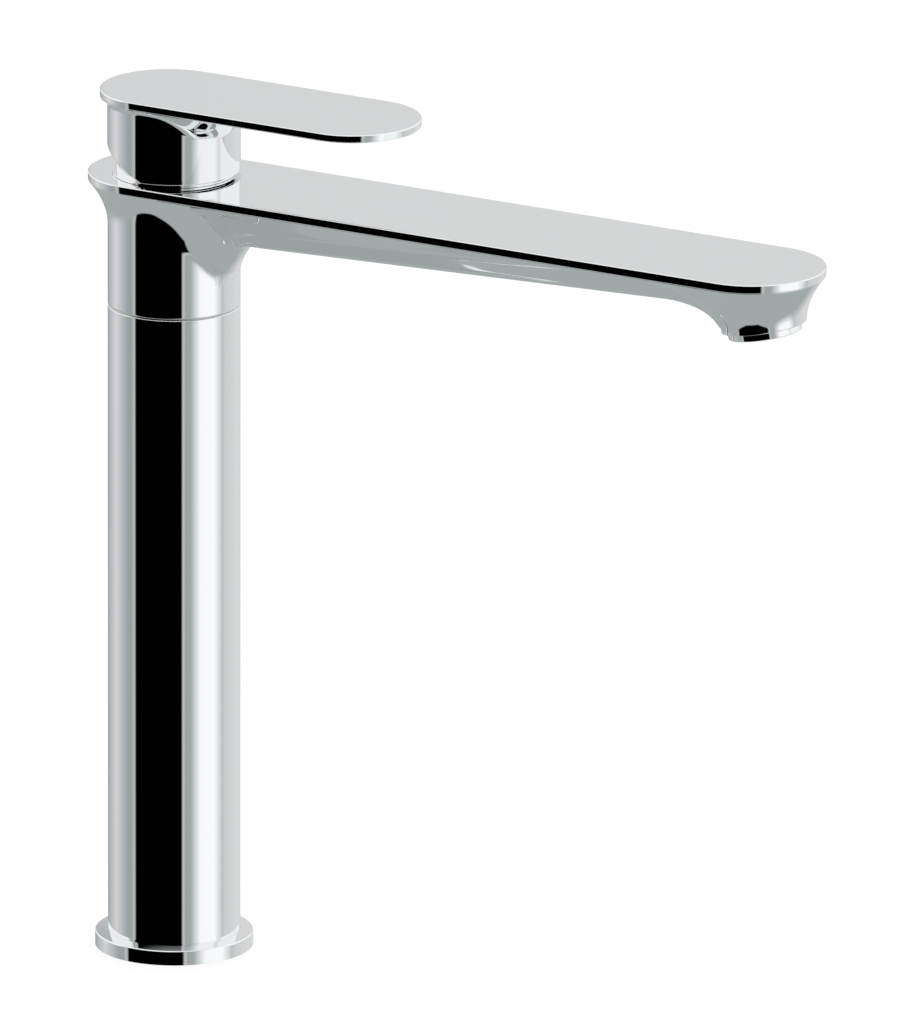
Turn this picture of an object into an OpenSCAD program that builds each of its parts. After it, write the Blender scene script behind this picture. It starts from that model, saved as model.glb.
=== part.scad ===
// Tall basin mixer tap: a round column, a long flat swivel spout and a flat lever on top.
// Millimetres. The origin is the centre of the base underside, +Z is up and +X runs along the spout.

/* [Column] */
// Outer diameter of the column
column_d = 45; // [44.5:0.5:50]
// Wall of the column tube
column_wall = 1.8; // [1.2:0.1:1.9]
// Height of the joint between the column and the spout head
joint_h = 226.5; // [160:0.5:300]
// Gap that shows at that joint
joint_gap = 0.5; // [0.4:0.1:0.8]

/* [Base] */
// Outer diameter of the flange around the foot
flange_d = 53.7; // [53.5:0.1:70]
// Height of the flange at its rim
flange_rim_h = 5; // [3:0.1:6]
// Rise of the flange from its rim to the column
flange_rise = 0.6; // [0.3:0.1:3]
// Height of the brass block in the foot of the column
block_h = 28; // [26:1:40]
// Thickness of the brass foot that the column stands on
foot_t = 3; // [2:0.5:5]
// Diameter of the drilled and tapped hole for the fixing stud
stud_hole_d = 6.8; // [5:0.1:8.5]
// Depth of the stud hole
stud_hole_depth = 16; // [10:1:18]
// Diameter of the drilled and tapped holes for the supply hoses
hose_hole_d = 9; // [8:0.1:9.4]
// Depth of the hose holes
hose_hole_depth = 12; // [8:1:14]

/* [Spout] */
// Distance from the column axis to the far end of the spout plate
spout_reach = 249.5; // [160:0.5:300]
// Distance from the column axis to the back end of the spout plate
spout_back = 29.8; // [28:0.1:36]
// Width of the spout plate
spout_w = 50.1; // [49:0.1:60]
// Thickness of the rim of the spout plate
spout_plate_t = 3.1; // [2.5:0.1:5]
// Height of the spout head from the joint to the top of its plate
head_h = 45.8; // [45.5:0.1:50]
// Wall of the spout head around the valve body
head_wall = 2.1; // [1.9:0.1:2.2]
// Width of the keel under the plate, where its walls start
arm_w = 31; // [28:0.5:34]
// Depth of the keel below the rim of the plate next to the column
arm_depth_root = 16.6; // [15.5:0.1:18]
// Depth of the keel below the rim of the plate next to the nozzle
arm_depth_tip = 11.2; // [10:0.1:12.5]
// Angle that the spout swivels to each side
swivel_angle = 70; // [10:5:80]

/* [Nozzle] */
// Distance from the far end of the spout plate to the nozzle centre
nozzle_back = 20.2; // [17:0.1:60]
// Outer diameter of the nozzle skirt
nozzle_d = 29; // [28:0.5:34]
// Drop from the rim of the plate to the middle of the nozzle mouth
nozzle_drop = 17.4; // [15:0.1:25]
// Outward tilt of the nozzle
nozzle_tilt = 10.5; // [0:0.5:15]
// Diameter of the aerator shell
aerator_d = 24.9; // [22:0.1:25.2]
// Length of the aerator shell outside the nozzle
aerator_out = 2.6; // [1:0.1:4]

/* [Lever] */
// Distance from the column axis to the tip of the lever
lever_reach = 93.1; // [60:0.1:140]
// Distance from the column axis to the back end of the lever plate
lever_back = 25.4; // [24.5:0.1:32]
// Width of the lever plate
lever_w = 46.4; // [45.5:0.1:56]
// Thickness of the lever plate
lever_plate_t = 2.8; // [2:0.1:4]
// Outer diameter of the round skirt under the lever
skirt_d = 45.2; // [44.5:0.1:45.8]
// Wall of that skirt
skirt_wall = 2.4; // [1.5:0.1:2.45]
// Height of the lever from the foot of its skirt to its top
lever_h = 27.8; // [27:0.1:34]
// Gap between the skirt and the spout plate
skirt_gap = 1.5; // [1.2:0.1:2.5]
// Angle that the lever lifts from closed to full flow
lift_angle = 25; // [15:1:25]

/* [Cartridge] */
// Diameter of the ceramic disc cartridge
cartridge_d = 35; // [34.6:0.1:35.2]
// Height of the cartridge body from its underside to its shoulder
cartridge_h = 23; // [22.8:0.1:23.2]
// Size across the flats of the square spindle
spindle_w = 8; // [7:0.1:8.2]
// Diameter of the copper riser pipes
riser_d = 10; // [9:0.5:10.5]
// Wall of the riser pipes
riser_wall = 1; // [0.6:0.1:1.5]

/* [Fits] */
// Running clearance of the glide rings and the pivot pin, per side
run_fit = 0.06; // [0.03:0.01:0.09]
// Clearance of pieces that slip into each other and stay, per side
slip_fit = 0.1; // [0.05:0.01:0.2]
// Gap that a loose piece keeps from its neighbour
loose_gap = 0.3; // [0.2:0.05:0.4]

/* [Hidden] */
$fn = 64;
hex_sides = 6;
over = 1;
brass = "goldenrod";
copper = "peru";
chrome = "lightsteelblue";
rubber = "dimgray";
plastic = "white";

// Column
column_r = column_d / 2;
column_bore_r = column_r - column_wall;
column_top = joint_h - joint_gap / 2;
column_edge = 0.3;

// Spout head and its fit on the valve body
head_bottom = joint_h + joint_gap / 2;
plate_top = joint_h + head_h;
rim_z = plate_top - spout_plate_t;
spout_r = spout_w / 2;
spout_back_x = spout_r - spout_back;
spout_tip_x = spout_reach - spout_r;
head_bore_r = column_r - head_wall;
ring_space = 0.4;
valve_r = head_bore_r - ring_space;
rim_inset = 0.15;
rim_half = spout_r - 2 * rim_inset;

// Flares. Each leaves its column at a depth that grows with the plate's overhang, and both level off.
// In a list: least depth, depth per overhang, limit of the depth at no and at the greatest overhang,
// how sharply it meets that limit, greatest overhang, power of the curve.
neck_flare = [9.5, 2.3, 14, 34, 12, 32, 2];
neck_depth = 34;
lever_flare = [1.6, 1.1, 11, 11, 6, 10, 1.7];
lever_depth = 11;
nozzle_power = 2;
grow_power = 4;
ray_least = 0.01;

// Keel under the plate, with its blends into the neck and the nozzle
nozzle_stub = 20;
keel_round = 6.5;
keel_half = 6;
keel_soft = 1.4;
crease_root = 8.9;
crease_tip = 1.55;
crease_over = 1.15;
arm_root_run = 15.5;
arm_root_in = 1.5;
arm_root_len = 24;
arm_blend = 5;
arm_blend_run = 11;
arm_blend_side = 7;
arm_sink = 0.1;
arm_fillet_x = 20;
arm_fillet_y = 15;
arm_fillet_z = 15;
arm_fillet_end = 0.95;
arm_tip_gap = 1;
arm_tip_in = 4;

// Valve body
spigot_gap = 0.2;
spigot_r = column_bore_r - spigot_gap;
spigot_len = 8.25;
valve_bottom = column_top - spigot_len;
valve_top = plate_top + slip_fit;
waist_cut = 1.1;
seal_h = 2.6;
seal_cs = 1.7;
glide_h = 3;
glide_cut = 0.8;
land = 0.8;
washer_in = 0.6;
washer_r = column_r - washer_in;
washer_t = joint_gap - loose_gap / 6;
upper_land = 1;
lower_land = 2.25;
screw_d = 3;
screw_groove_h = screw_d + 2 * loose_gap;
lower_glide_z = head_bottom + lower_land;
screw_groove_z = lower_glide_z + glide_h + land;
lower_seal_z = screw_groove_z + screw_groove_h + land;
waist_z = lower_seal_z + seal_h + land;
upper_glide_z = valve_top - upper_land - glide_h;
upper_seal_z = upper_glide_z - land - seal_h;
waist_h = upper_seal_z - land - waist_z;
seal_pos_r = head_bore_r - run_fit - seal_cs / 2;
seal_floor_r = seal_pos_r - seal_cs / 2 - run_fit;
screw_tip_r = valve_r - waist_cut + loose_gap;
swivel_spare = 8;

// Waterways, shared by the base block, the risers, the valve body and the cartridge
inlet_x = -3;
inlet_y = 9.5;
outlet_x = 8.5;
way_r = 3.2;
port_r = 3;
riser_r = riser_d / 2;
socket_r = riser_r + slip_fit;
socket_depth = 8;
riser_seal_cs = 1.4;
riser_seal_h = 2;
riser_seal_in = 3;
mix_depth = 7;
mix_r = 2.4;

// Base
flange_r = flange_d / 2;
flange_in_r = column_r + slip_fit;
flange_edge = 0.4;
gasket_w = 2.2;
gasket_t = 1.5;
gasket_in = 1.3;
gasket_r = flange_r - gasket_in;
foot_r = column_r - spigot_gap;

// Cartridge, from its underside up
pivot_rise = 1;
pivot_z = plate_top + pivot_rise;
floor_gap = 0.1;
cart_r = cartridge_d / 2 - slip_fit;
cart_bore_r = cartridge_d / 2 + slip_fit;
shoulder_drop = 5.3;
shoulder_z = pivot_z - shoulder_drop;
cart_floor = shoulder_z - cartridge_h;
cart_base_t = 4.5;
disc_t = 3.5;
disc_gap = 0.05;
fixed_disc_r = 14.2;
fixed_disc_z = cart_floor + cart_base_t;
moving_disc_t = 2.95;
moving_disc_r = 11.2;
moving_disc_z = fixed_disc_z + disc_t + disc_gap;
moving_cup_r = 8;
moving_cup_depth = 1.6;
carrier_z = moving_disc_z + moving_disc_t;
carrier_r = 11.4;
carrier_flat = 10.1;
carrier_t = 6.5;
carrier_top = carrier_z + carrier_t;
guide_gap = 0.5;
guide_z = carrier_top + guide_gap;
guide_flange_t = 3.2;
guide_flange_r = 14.3;
guide_neck_r = 9.5;
guide_rise = 6.2;
guide_top = pivot_z + guide_rise;
lug_in = 0.2;
lug_t = 2.2;
lug_w = 12;
lug_drop = 4.5;
cavity_r = guide_flange_r + loose_gap;
cavity_top = guide_z + guide_flange_t + slip_fit;
neck_bore_r = guide_neck_r + slip_fit;
neck_r = 11.8;
neck_rise = 4.2;
neck_top = pivot_z + neck_rise;
peg_r = 1.5;
peg_len = 2;
peg_x = 4;
peg_y = 12.5;
port_seal_r = 4.5;
port_seal_cs = 1.6;
nut_r = cart_bore_r - run_fit;
nut_gap = 0.2;
nut_bore_r = neck_r + nut_gap;
nut_t = 5;
nut_notch_w = 3;
nut_notch_depth = 1.5;

// Spindle. Its ball drives the disc carrier, which slides as the lever lifts.
pin_d = 3;
pin_r = pin_d / 2;
pin_len = 18.4;
ball_drop = 12.8;
ball_r = 2.95;
ball_z = pivot_z - ball_drop;
ball_fit = 0.25;
ball_floor_gap = 0.3;
shank_w = 3.8;
shank_depth = 6;
hub_drop = 4.3;
spindle_len = 22.7;
spindle_top = pivot_z + spindle_len;
spindle_fit = 0.2;
spindle_swing = 0.8;
guide_slot_front = 7;
guide_slot_back = 7.7;
guide_relief_front = 8.6;
guide_relief_h = 2;
disc_travel = 5.4;
disc_start = -disc_travel / 2;

// Dome cover
dome_r = 19.6;
dome_wall = 0.9;
dome_open_r = 16;
dome_lip = 0.5;
dome_flange_r = head_bore_r + dome_lip;
dome_flange_t = 0.6;

// Lever
lever_r = lever_w / 2;
lever_back_x = lever_r - lever_back;
lever_tip_x = lever_reach - lever_r;
skirt_r = skirt_d / 2;
skirt_bore_r = skirt_r - skirt_wall;
skirt_z = plate_top + skirt_gap;
lever_top = skirt_z + lever_h;
lever_rim_z = lever_top - lever_plate_t;
lever_inset = 0.1;
roof_t = 0.4;
boss_r = 7.2;
boss_rise = 11;
boss_z = pivot_z + boss_rise;
grub_rise = 9;
grub_z = boss_z + grub_rise;
grub_r = 2.5;
grub_len = 6;
plug_r = 3;
plug_len = 2;

// Nozzle and aerator, in the nozzle's own tilted frame with its mouth at zero
nozzle_r = nozzle_d / 2;
nozzle_x = spout_reach - nozzle_back;
nozzle_z = rim_z - nozzle_drop;
aerator_r = aerator_d / 2;
aerator_in = 5;
aerator_wall = 1.85;
aerator_lip = 1;
aerator_lip_t = 1.2;
insert_r = aerator_r - aerator_wall - slip_fit;
insert_in = 0.8;
insert_top = aerator_in - insert_in;
insert_hole_r = 0.85;
insert_pitch = 3.1;
screen_t = 0.5;
screen_hole_r = 0.6;
aerator_bore_depth = 7;
aerator_seal_w = 3;
chamber_r = 9.2;
chamber_top = 12.4;

// Water channel in the arm
channel_w = 13;
channel_h = 6.4;
channel_root_drop = 9;
channel_tip_drop = 4.2;
channel_root_z = rim_z - channel_root_drop;
channel_tip_z = rim_z - channel_tip_drop;
channel_in = 2;

// Lofts: number of sides, steps down a flare, and points and sections of the arm
sides = 64;
flare_shares = [0, 0.04, 0.09, 0.15, 0.22, 0.3, 0.38, 0.47, 0.57, 0.7, 0.84, 1];
stub_side_share = 6;
ceiling_shares = [0, 0.2, 0.4, 0.6, 0.8];
wall_shares = [0, 0.15, 0.3, 0.45, 0.6, 0.75, 0.88];
bottom_shares = [0, 0.35, 0.7, 1];
root_steps = 13;
middle_steps = 8;
tip_steps = 9;

function mix(a, b, share) = a + (b - a) * share;
function clamp(v, low, high) = min(max(v, low), high);

// A closed solid through rings of points, listed from the end where they run anticlockwise seen from outside.
// Point i of a ring mirrors point shift - i, so each end is closed by strips from side to side.
module loft(rings, shift) {
    n = len(rings[0]);
    last = len(rings) - 1;
    points = [for (ring = rings) for (p = ring) p];
    walls = [
        for (k = [0 : last - 1]) for (i = [0 : n - 1])
            let (a = k * n + i, b = k * n + (i + 1) % n)
            each [[a, b, b + n], [a, b + n, a + n]]
    ];
    strips = [
        for (i = [0 : floor((n - 1) / 2) - (shift == n ? 0 : 1)])
            let (a = i, b = i + 1, c = (shift - i - 1) % n, d = (shift - i) % n)
            each concat(c == b ? [] : [[a, c, b]], d == a || c == d ? [] : [[a, d, c]])
    ];
    last_strips = [for (f = strips) [last * n + f[0], last * n + f[2], last * n + f[1]]];
    polyhedron(points = points, faces = concat(walls, strips, last_strips), convexity = 6);
}

// A flat plate with round ends
module long_plate(back_x, tip_x, r, z, t) {
    translate([back_x, -r, z]) cube([tip_x - back_x, 2 * r, t]);
    for (x = [back_x, tip_x]) translate([x, 0, z]) cylinder(r = r, h = t);
}

module tube(r, bore_r, z, h) {
    translate([0, 0, z]) difference() {
        cylinder(r = r, h = h);
        translate([0, 0, -over]) cylinder(r = bore_r, h = h + 2 * over);
    }
}

module o_ring(pos_r, section, z) {
    translate([0, 0, z]) rotate_extrude() translate([pos_r, 0]) circle(d = section);
}

module at_inlets() {
    for (side = [-1, 1]) translate([inlet_x, side * inlet_y, 0]) children();
}

module riser_groove(z) {
    translate([0, 0, z]) cylinder(r = socket_r + riser_seal_cs + run_fit, h = riser_seal_h);
}

module base_flange() {
    color(chrome) difference() {
        rotate_extrude() polygon([
            [flange_in_r, 0],
            [flange_r, 0],
            [flange_r, flange_rim_h - flange_edge],
            [flange_r - flange_edge, flange_rim_h],
            [flange_in_r, flange_rim_h + flange_rise]
        ]);
        tube(gasket_r + slip_fit, gasket_r - gasket_w - slip_fit, -over, gasket_t + slip_fit + over);
    }
}

module base_gasket() {
    color(rubber) tube(gasket_r, gasket_r - gasket_w, 0, gasket_t);
}

module base_block() {
    color(brass) difference() {
        union() {
            cylinder(r = foot_r, h = foot_t);
            cylinder(r = spigot_r, h = block_h);
        }
        translate([0, 0, -over]) cylinder(d = stud_hole_d, h = stud_hole_depth + over);
        at_inlets() {
            translate([0, 0, -over]) cylinder(d = hose_hole_d, h = hose_hole_depth + over);
            cylinder(r = way_r, h = block_h + over);
            translate([0, 0, block_h - socket_depth]) cylinder(r = socket_r, h = socket_depth + over);
            riser_groove(block_h - riser_seal_in - riser_seal_h);
        }
    }
}

module column_tube() {
    color(chrome) rotate_extrude() polygon([
        [column_bore_r, foot_t],
        [column_r, foot_t],
        [column_r, column_top - column_edge],
        [column_r - column_edge, column_top],
        [column_bore_r, column_top]
    ]);
}

module riser(side) {
    z = block_h - socket_depth + slip_fit;
    top = valve_bottom + socket_depth - slip_fit;
    color(copper) translate([inlet_x, side * inlet_y, 0]) tube(riser_r, riser_r - riser_wall, z, top - z);
}

module hot_riser() {
    riser(-1);
}

module cold_riser() {
    riser(1);
}

module riser_seals() {
    low = block_h - riser_seal_in - riser_seal_h / 2;
    high = valve_bottom + riser_seal_in + riser_seal_h / 2;
    color(rubber) at_inlets() for (z = [low, high]) o_ring(socket_r + riser_seal_cs / 2, riser_seal_cs, z);
}

module ring_groove(floor_r, z, h) {
    tube(valve_r + over, floor_r, z, h);
}

module valve_body() {
    color(brass) difference() {
        union() {
            translate([0, 0, valve_bottom]) cylinder(r = spigot_r, h = spigot_len);
            translate([0, 0, valve_bottom]) cylinder(r = valve_r, h = valve_top - valve_bottom);
        }
        translate([0, 0, cart_floor - floor_gap]) cylinder(r = cart_bore_r, h = valve_top);
        at_inlets() {
            translate([0, 0, valve_bottom - over]) cylinder(r = socket_r, h = socket_depth + over);
            cylinder(r = way_r, h = cart_floor);
            riser_groove(valve_bottom + riser_seal_in);
        }
        translate([outlet_x, 0, cart_floor - mix_depth]) cylinder(r = way_r, h = mix_depth + over);
        translate([outlet_x, 0, cart_floor - mix_r - over]) rotate([0, 90, 0])
            cylinder(r = mix_r, h = valve_r);
        for (side = [-1, 1]) translate([peg_x, side * peg_y, cart_floor - peg_len - loose_gap])
            cylinder(r = peg_r + slip_fit, h = peg_len + over);
        ring_groove(valve_r - waist_cut, waist_z, waist_h);
        ring_groove(seal_floor_r, lower_seal_z, seal_h);
        ring_groove(seal_floor_r, upper_seal_z, seal_h);
        ring_groove(valve_r - glide_cut, lower_glide_z, glide_h);
        ring_groove(valve_r - glide_cut, upper_glide_z, glide_h);
        rotate([0, 0, 180 - swivel_angle - swivel_spare])
            rotate_extrude(angle = 2 * (swivel_angle + swivel_spare))
                translate([valve_r - waist_cut, screw_groove_z]) square([waist_cut + over, screw_groove_h]);
    }
}

module joint_washer() {
    color(plastic) tube(washer_r, valve_r + loose_gap, column_top, washer_t);
}

module glide_ring(z) {
    color(plastic)
        tube(head_bore_r - run_fit, valve_r - glide_cut + run_fit, z + slip_fit, glide_h - 2 * slip_fit);
}

module lower_glide_ring() {
    glide_ring(lower_glide_z);
}

module upper_glide_ring() {
    glide_ring(upper_glide_z);
}

module swivel_seals() {
    color(rubber) for (z = [lower_seal_z, upper_seal_z]) o_ring(seal_pos_r, seal_cs, z + seal_h / 2);
}

module at_ports() {
    at_inlets() children();
    translate([outlet_x, 0, 0]) children();
}

module cartridge_base() {
    groove_r = port_seal_r + port_seal_cs / 2 + slip_fit;
    color("gray") difference() {
        union() {
            translate([0, 0, cart_floor]) cylinder(r = cart_r, h = cart_base_t);
            for (side = [-1, 1]) translate([peg_x, side * peg_y, cart_floor - peg_len])
                cylinder(r = peg_r, h = peg_len + over);
        }
        at_ports() {
            translate([0, 0, cart_floor - over]) cylinder(r = port_r, h = cart_base_t + 2 * over);
            tube(groove_r, groove_r - port_seal_cs - 2 * slip_fit, cart_floor - over, port_seal_cs + over);
        }
    }
}

module port_seals() {
    color(rubber) at_ports() o_ring(port_seal_r, port_seal_cs, cart_floor + port_seal_cs / 2 - floor_gap / 2);
}

module fixed_disc() {
    color("ivory") difference() {
        translate([0, 0, fixed_disc_z]) cylinder(r = fixed_disc_r, h = disc_t);
        at_ports() translate([0, 0, fixed_disc_z - over])
            cylinder(r = port_r - slip_fit, h = disc_t + 2 * over);
    }
}

module cartridge_housing() {
    color("whitesmoke") difference() {
        union() {
            translate([0, 0, fixed_disc_z]) cylinder(r = cart_r, h = shoulder_z - fixed_disc_z);
            translate([0, 0, fixed_disc_z]) cylinder(r = neck_r, h = neck_top - fixed_disc_z);
        }
        translate([0, 0, fixed_disc_z - over]) cylinder(r = cavity_r, h = cavity_top - fixed_disc_z + over);
        translate([0, 0, fixed_disc_z]) cylinder(r = neck_bore_r, h = neck_top);
    }
}

module cartridge_nut() {
    color(brass) difference() {
        tube(nut_r, nut_bore_r, shoulder_z, nut_t);
        for (turn = [0, 90]) rotate([0, 0, turn])
            translate([-nut_r - over, -nut_notch_w / 2, shoulder_z + nut_t - nut_notch_depth])
                cube([2 * (nut_r + over), nut_notch_w, nut_notch_depth + over]);
    }
}

module dome_cover() {
    color(chrome) difference() {
        union() {
            translate([0, 0, valve_top]) cylinder(r = dome_flange_r, h = dome_flange_t);
            translate([0, 0, valve_top]) cylinder(r = dome_r, h = pivot_z - valve_top);
            translate([0, 0, pivot_z]) difference() {
                sphere(r = dome_r);
                translate([0, 0, -2 * dome_r]) cylinder(r = 2 * dome_r, h = 2 * dome_r);
            }
        }
        translate([0, 0, valve_top - over]) cylinder(r = dome_r - dome_wall, h = pivot_z - valve_top + over);
        translate([0, 0, pivot_z]) sphere(r = dome_r - dome_wall);
        translate([0, 0, pivot_z]) cylinder(r = dome_open_r, h = 2 * dome_r);
    }
}

// How far a plate with round ends reaches over a column, seen from the column's axis, levelled off
function overhang(angle, r, back_x, column, flare) =
    let (
        side = r / max(abs(sin(angle)), ray_least),
        round_end = back_x * cos(angle) + sqrt(max(r * r - pow(back_x * sin(angle), 2), 0)),
        out = side * cos(angle) >= back_x ? side : round_end,
        over = out - column
    )
    over * pow(1 + pow(over / flare[5], grow_power), -1 / grow_power);

function flare_run(over, flare) =
    let (
        run = pow(pow(flare[0], grow_power) + pow(flare[1] * over, grow_power), 1 / grow_power),
        limit = mix(flare[2], flare[3], over / flare[5]),
        level = flare[4]
    )
    pow(pow(run, -level) + pow(limit, -level), -1 / level);

// Radius of a flare at a depth below the rim, and the depth where it has a radius
function flared_r(depth, column, over, flare) =
    column + over * pow(max(1 - depth / flare_run(over, flare), 0), flare[6]);
function flare_drop(r, column, over, flare) =
    flare_run(over, flare) * (1 - pow(max((r - column) / over, 0), 1 / flare[6]));

// The larger of two depths, rounded over a reach where they meet
function soft_max(a, b, reach) =
    max(a, b) + (reach <= 0 ? 0 : pow(max(reach - abs(a - b), 0), 2) / (4 * reach));

function neck_over(angle) = overhang(angle, spout_r - rim_inset, spout_back_x, column_r, neck_flare);
function neck_ring(depth) = [
    for (i = [0 : sides - 1])
        let (angle = 360 * i / sides, out = flared_r(depth, column_r, neck_over(angle), neck_flare))
        [out * cos(angle), out * sin(angle), rim_z - depth]
];

function lifted(ring, z) = [for (p = ring) [p.x, p.y, z]];
function circle_ring(r, z) = [
    for (i = [0 : sides - 1]) [r * cos(360 * i / sides), r * sin(360 * i / sides), z]
];

module neck() {
    loft(concat(
        [lifted(neck_ring(0), rim_z + over)],
        [for (share = flare_shares) neck_ring(neck_depth * share)],
        [circle_ring(column_r, head_bottom)]
    ), sides);
}

// The nozzle's flare starts at a short plate with round ends
function stub_point(back_x, tip_x, r, angle) = [
    mix(back_x, tip_x, clamp(cos(angle) * stub_side_share + 0.5, 0, 1)) + r * cos(angle),
    r * sin(angle)
];

function nozzle_ring(share) = [
    for (i = [0 : sides - 1])
        let (
            angle = 360 * i / sides,
            foot = [
                nozzle_x + nozzle_r * cos(angle) * cos(nozzle_tilt),
                nozzle_r * sin(angle),
                nozzle_z + nozzle_r * cos(angle) * sin(nozzle_tilt)
            ],
            left = pow(1 - share, nozzle_power),
            rim = stub_point(spout_tip_x - nozzle_stub, spout_tip_x, spout_r - rim_inset, angle)
        )
        [mix(foot.x, rim.x, left), mix(foot.y, rim.y, left), mix(rim_z, foot.z, share)]
];

module nozzle() {
    loft(concat(
        [lifted(nozzle_ring(0), rim_z + over)],
        [for (share = flare_shares) nozzle_ring(share)]
    ), sides);
}

// The arm is a keel under the plate. Its ceiling runs from the rim to a crease, where the keel's wall starts.
arm_start = column_r - arm_root_in;
arm_root_x = column_r + arm_root_run;
arm_tip_x = nozzle_x - nozzle_r + arm_tip_gap - arm_fillet_x;
arm_end = nozzle_x - nozzle_r + arm_tip_in;
crease_half = arm_w / 2;
function along(x) = (x - arm_root_x) / (arm_tip_x - arm_root_x);

// The wall leaves the crease straight and touches the round of the keel
function keel_drop(y, depth, crease) =
    let (
        wide = crease_half - keel_half,
        deep = depth - keel_round - crease,
        start = acos(min(keel_round / norm([wide, deep]), 1)) - atan2(deep, wide),
        touch = keel_half + keel_round * cos(start)
    )
    y < keel_half ? depth :
    y < touch ? depth - keel_round + sqrt(pow(keel_round, 2) - pow(y - keel_half, 2)) :
    depth - keel_round + keel_round * sin(start) - (y - touch) / tan(start);

function tip_fillet(x, y) =
    let (share = clamp((x - arm_tip_x) / arm_fillet_x, 0, arm_fillet_end))
    arm_fillet_z * (1 - sqrt(1 - share * share)) * pow(max(1 - pow(y / arm_fillet_y, 2), 0), 2);

function arm_drop(x, y) =
    let (
        depth = mix(arm_depth_root, arm_depth_tip, clamp(along(x), 0, 1)),
        crease = mix(crease_root, crease_tip, min(along(x), crease_over)),
        ceiling = crease * (rim_half - max(y, crease_half)) / (rim_half - crease_half),
        drop = soft_max(ceiling, keel_drop(y, depth, crease), keel_soft) + tip_fillet(x, y),
        neck = flare_drop(norm([x, y]), column_r, neck_over(atan2(y, x)), neck_flare) - arm_sink,
        root_share = clamp((x - arm_start) / arm_blend_run, 0, 1),
        side_share = clamp((rim_half - y) / arm_blend_side, 0, 1)
    )
    soft_max(drop, neck, arm_blend * root_share * side_share);

arm_across = concat(
    [for (share = ceiling_shares) mix(rim_half, crease_half, share)],
    [for (share = wall_shares) mix(crease_half, keel_half, share)],
    [for (share = bottom_shares) mix(keel_half, 0, share)]
);
function arm_section(x) =
    let (half = concat([[rim_half, -over]], [for (y = arm_across) [y, arm_drop(x, y)]]), n = len(half))
    concat(
        [for (p = half) [x, p[0], rim_z - p[1]]],
        [for (k = [n - 2 : -1 : 0]) [x, -half[k][0], rim_z - half[k][1]]]
    );

// Sections lie closer together next to the column
arm_stations = concat(
    [for (k = [0 : root_steps]) arm_start + arm_root_len * pow(k / root_steps, 2)],
    [for (k = [1 : middle_steps]) mix(arm_start + arm_root_len, arm_tip_x, k / middle_steps)],
    [for (k = [1 : tip_steps]) mix(arm_tip_x, arm_end, k / tip_steps)]
);

module arm() {
    rings = [for (x = arm_stations) arm_section(x)];
    loft(rings, len(rings[0]) - 1);
}

module nozzle_frame() {
    translate([nozzle_x, 0, nozzle_z]) rotate([0, -nozzle_tilt, 0]) children();
}

// A flat channel with round sides that follows the underside of the arm
module water_channel() {
    run = nozzle_x - valve_r;
    slope = atan2(channel_tip_z - channel_root_z, run);
    side_y = (channel_w - channel_h) / 2;
    length = run / cos(slope) + channel_in;
    translate([valve_r - channel_in, 0, channel_root_z]) rotate([0, 90 - slope, 0]) {
        for (side = [-1, 1]) translate([0, side * side_y, 0]) cylinder(d = channel_h, h = length);
        translate([-channel_h / 2, -side_y, 0]) cube([channel_h, 2 * side_y, length]);
    }
}

module spout_head() {
    color(chrome) difference() {
        union() {
            long_plate(spout_back_x, spout_tip_x, spout_r, rim_z, spout_plate_t);
            neck();
            nozzle();
            arm();
        }
        translate([0, 0, head_bottom - over]) cylinder(r = head_bore_r, h = head_h + 2 * over);
        water_channel();
        nozzle_frame() {
            translate([0, 0, -over - nozzle_r])
                cylinder(r = aerator_r + slip_fit, h = aerator_bore_depth + over + nozzle_r);
            cylinder(r = chamber_r, h = chamber_top);
        }
        translate([0, 0, screw_groove_z + screw_groove_h / 2]) rotate([0, -90, 0])
            translate([0, 0, valve_r]) cylinder(d = screw_d + 2 * slip_fit, h = column_r);
    }
}

module swivel_screw() {
    color("silver") translate([0, 0, screw_groove_z + screw_groove_h / 2]) rotate([0, -90, 0])
        translate([0, 0, screw_tip_r]) difference() {
            cylinder(d = screw_d, h = column_r - loose_gap - screw_tip_r);
            translate([0, 0, column_r - screw_tip_r - screw_d / 2])
                cylinder(d = screw_d / 2, h = screw_d, $fn = hex_sides);
        }
}

module aerator_shell() {
    inner_r = aerator_r - aerator_wall;
    color(chrome) nozzle_frame() {
        tube(aerator_r, inner_r, -aerator_out, aerator_in + aerator_out);
        tube(inner_r + slip_fit, inner_r - aerator_lip, -aerator_out, aerator_lip_t);
    }
}

// Holes on a hexagonal grid, as far out as they fit in a disc
module hole_grid(hole_r, pitch, disc_r, z, h) {
    rows = floor(disc_r / pitch) + 1;
    for (i = [-rows : rows]) for (j = [-rows : rows]) {
        x = pitch * (i + j / 2);
        y = pitch * j * sin(60);
        if (norm([x, y]) < disc_r - 2 * hole_r) translate([x, y, z]) cylinder(r = hole_r, h = h);
    }
}

module aerator_insert() {
    z = aerator_lip_t - aerator_out + slip_fit;
    color(plastic) nozzle_frame() difference() {
        translate([0, 0, z]) cylinder(r = insert_r, h = insert_top - z);
        hole_grid(insert_hole_r, insert_pitch, insert_r, z - over, insert_top - z + 2 * over);
    }
}

module aerator_screen() {
    color("silver") nozzle_frame() difference() {
        translate([0, 0, insert_top]) cylinder(r = insert_r, h = screen_t);
        hole_grid(screen_hole_r, insert_pitch, insert_r, insert_top - over, screen_t + 2 * over);
    }
}

module aerator_seal() {
    h = aerator_bore_depth - aerator_in - slip_fit;
    color(rubber) nozzle_frame() tube(aerator_r, aerator_r - aerator_seal_w, aerator_in, h);
}

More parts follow.
